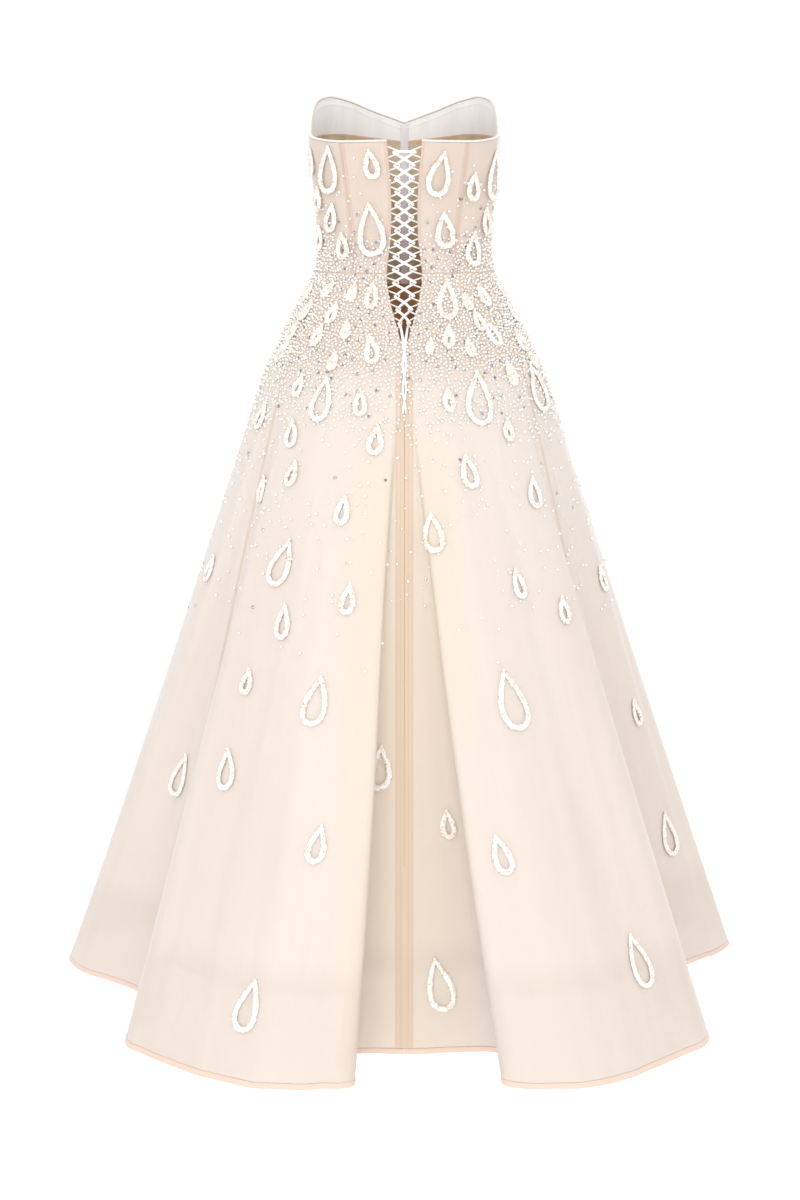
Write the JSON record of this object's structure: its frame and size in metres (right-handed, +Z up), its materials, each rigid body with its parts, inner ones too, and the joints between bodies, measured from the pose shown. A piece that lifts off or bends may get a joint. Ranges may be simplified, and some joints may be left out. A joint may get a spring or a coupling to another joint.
{
  "type": "tulle gown",
  "caption": "Strapless blush tulle ball gown, laced up the back, with a full skirt in deep folds and beaded drops, filled out as worn.",
  "frame": {"origin": "centre of the waist, where the wearer holds the gown up", "axes": "+Z up, +Y out of the gown's back, which the picture shows, -Y out of its front, -X the wearer's right"},
  "size_m": [1.0435, 1.0518, 1.3196],
  "materials": {
    "tulle": "sheer organza and tulle in several layers, softly shining",
    "underskirt": "matt gathered tulle and lining cloth",
    "skirt_lining": "smooth lining cloth",
    "facing": "ivory satin facing",
    "front_lining": "tan lining cloth",
    "casing": "woven bone casing tape",
    "edge_binding": "narrow bias binding",
    "hem_binding": "narrow bound hem",
    "seam_allowance": "cut cloth edges",
    "lace": "white satin cord",
    "loops": "white loop cord",
    "pearl": "pearl lustre",
    "crystal": "cut crystal with foil backs",
    "gold_sequin": "small metallic sequins and beads",
    "drop_cord": "padded cord covered in seed beads"
  },
  "bodies": {
    "root": {"bodice_centre_back_left": "tulle", "bodice_centre_back_right": "tulle", "bodice_side_back_left": "tulle", "bodice_side_back_right": "tulle", "bodice_side_front_left": "tulle", "bodice_side_front_right": "tulle", "bodice_centre_front_left": "tulle", "bodice_centre_front_right": "tulle", "skirt_back_left": "tulle", "skirt_back_right": "tulle", "skirt_outer_left": "tulle", "skirt_outer_right": "tulle", "skirt_front_left": "tulle", "skirt_front_right": "tulle", "skirt_centre_front": "tulle", "underskirt_left": "underskirt", "underskirt_right": "underskirt", "skirt_lining_left": "skirt_lining", "skirt_lining_right": "skirt_lining", "neck_facing_left": "facing", "neck_facing_right": "facing", "front_lining_left": "front_lining", "front_lining_right": "front_lining", "bone_casing": "casing", "top_binding_left": "edge_binding", "top_binding_right": "edge_binding", "hem_binding_left": "hem_binding", "hem_binding_right": "hem_binding", "seam_allowance_left": "seam_allowance", "seam_allowance_right": "seam_allowance", "lace": "lace", "lacing_loops_left": "loops", "lacing_loops_right": "loops"}
  },
  "joints": []
}
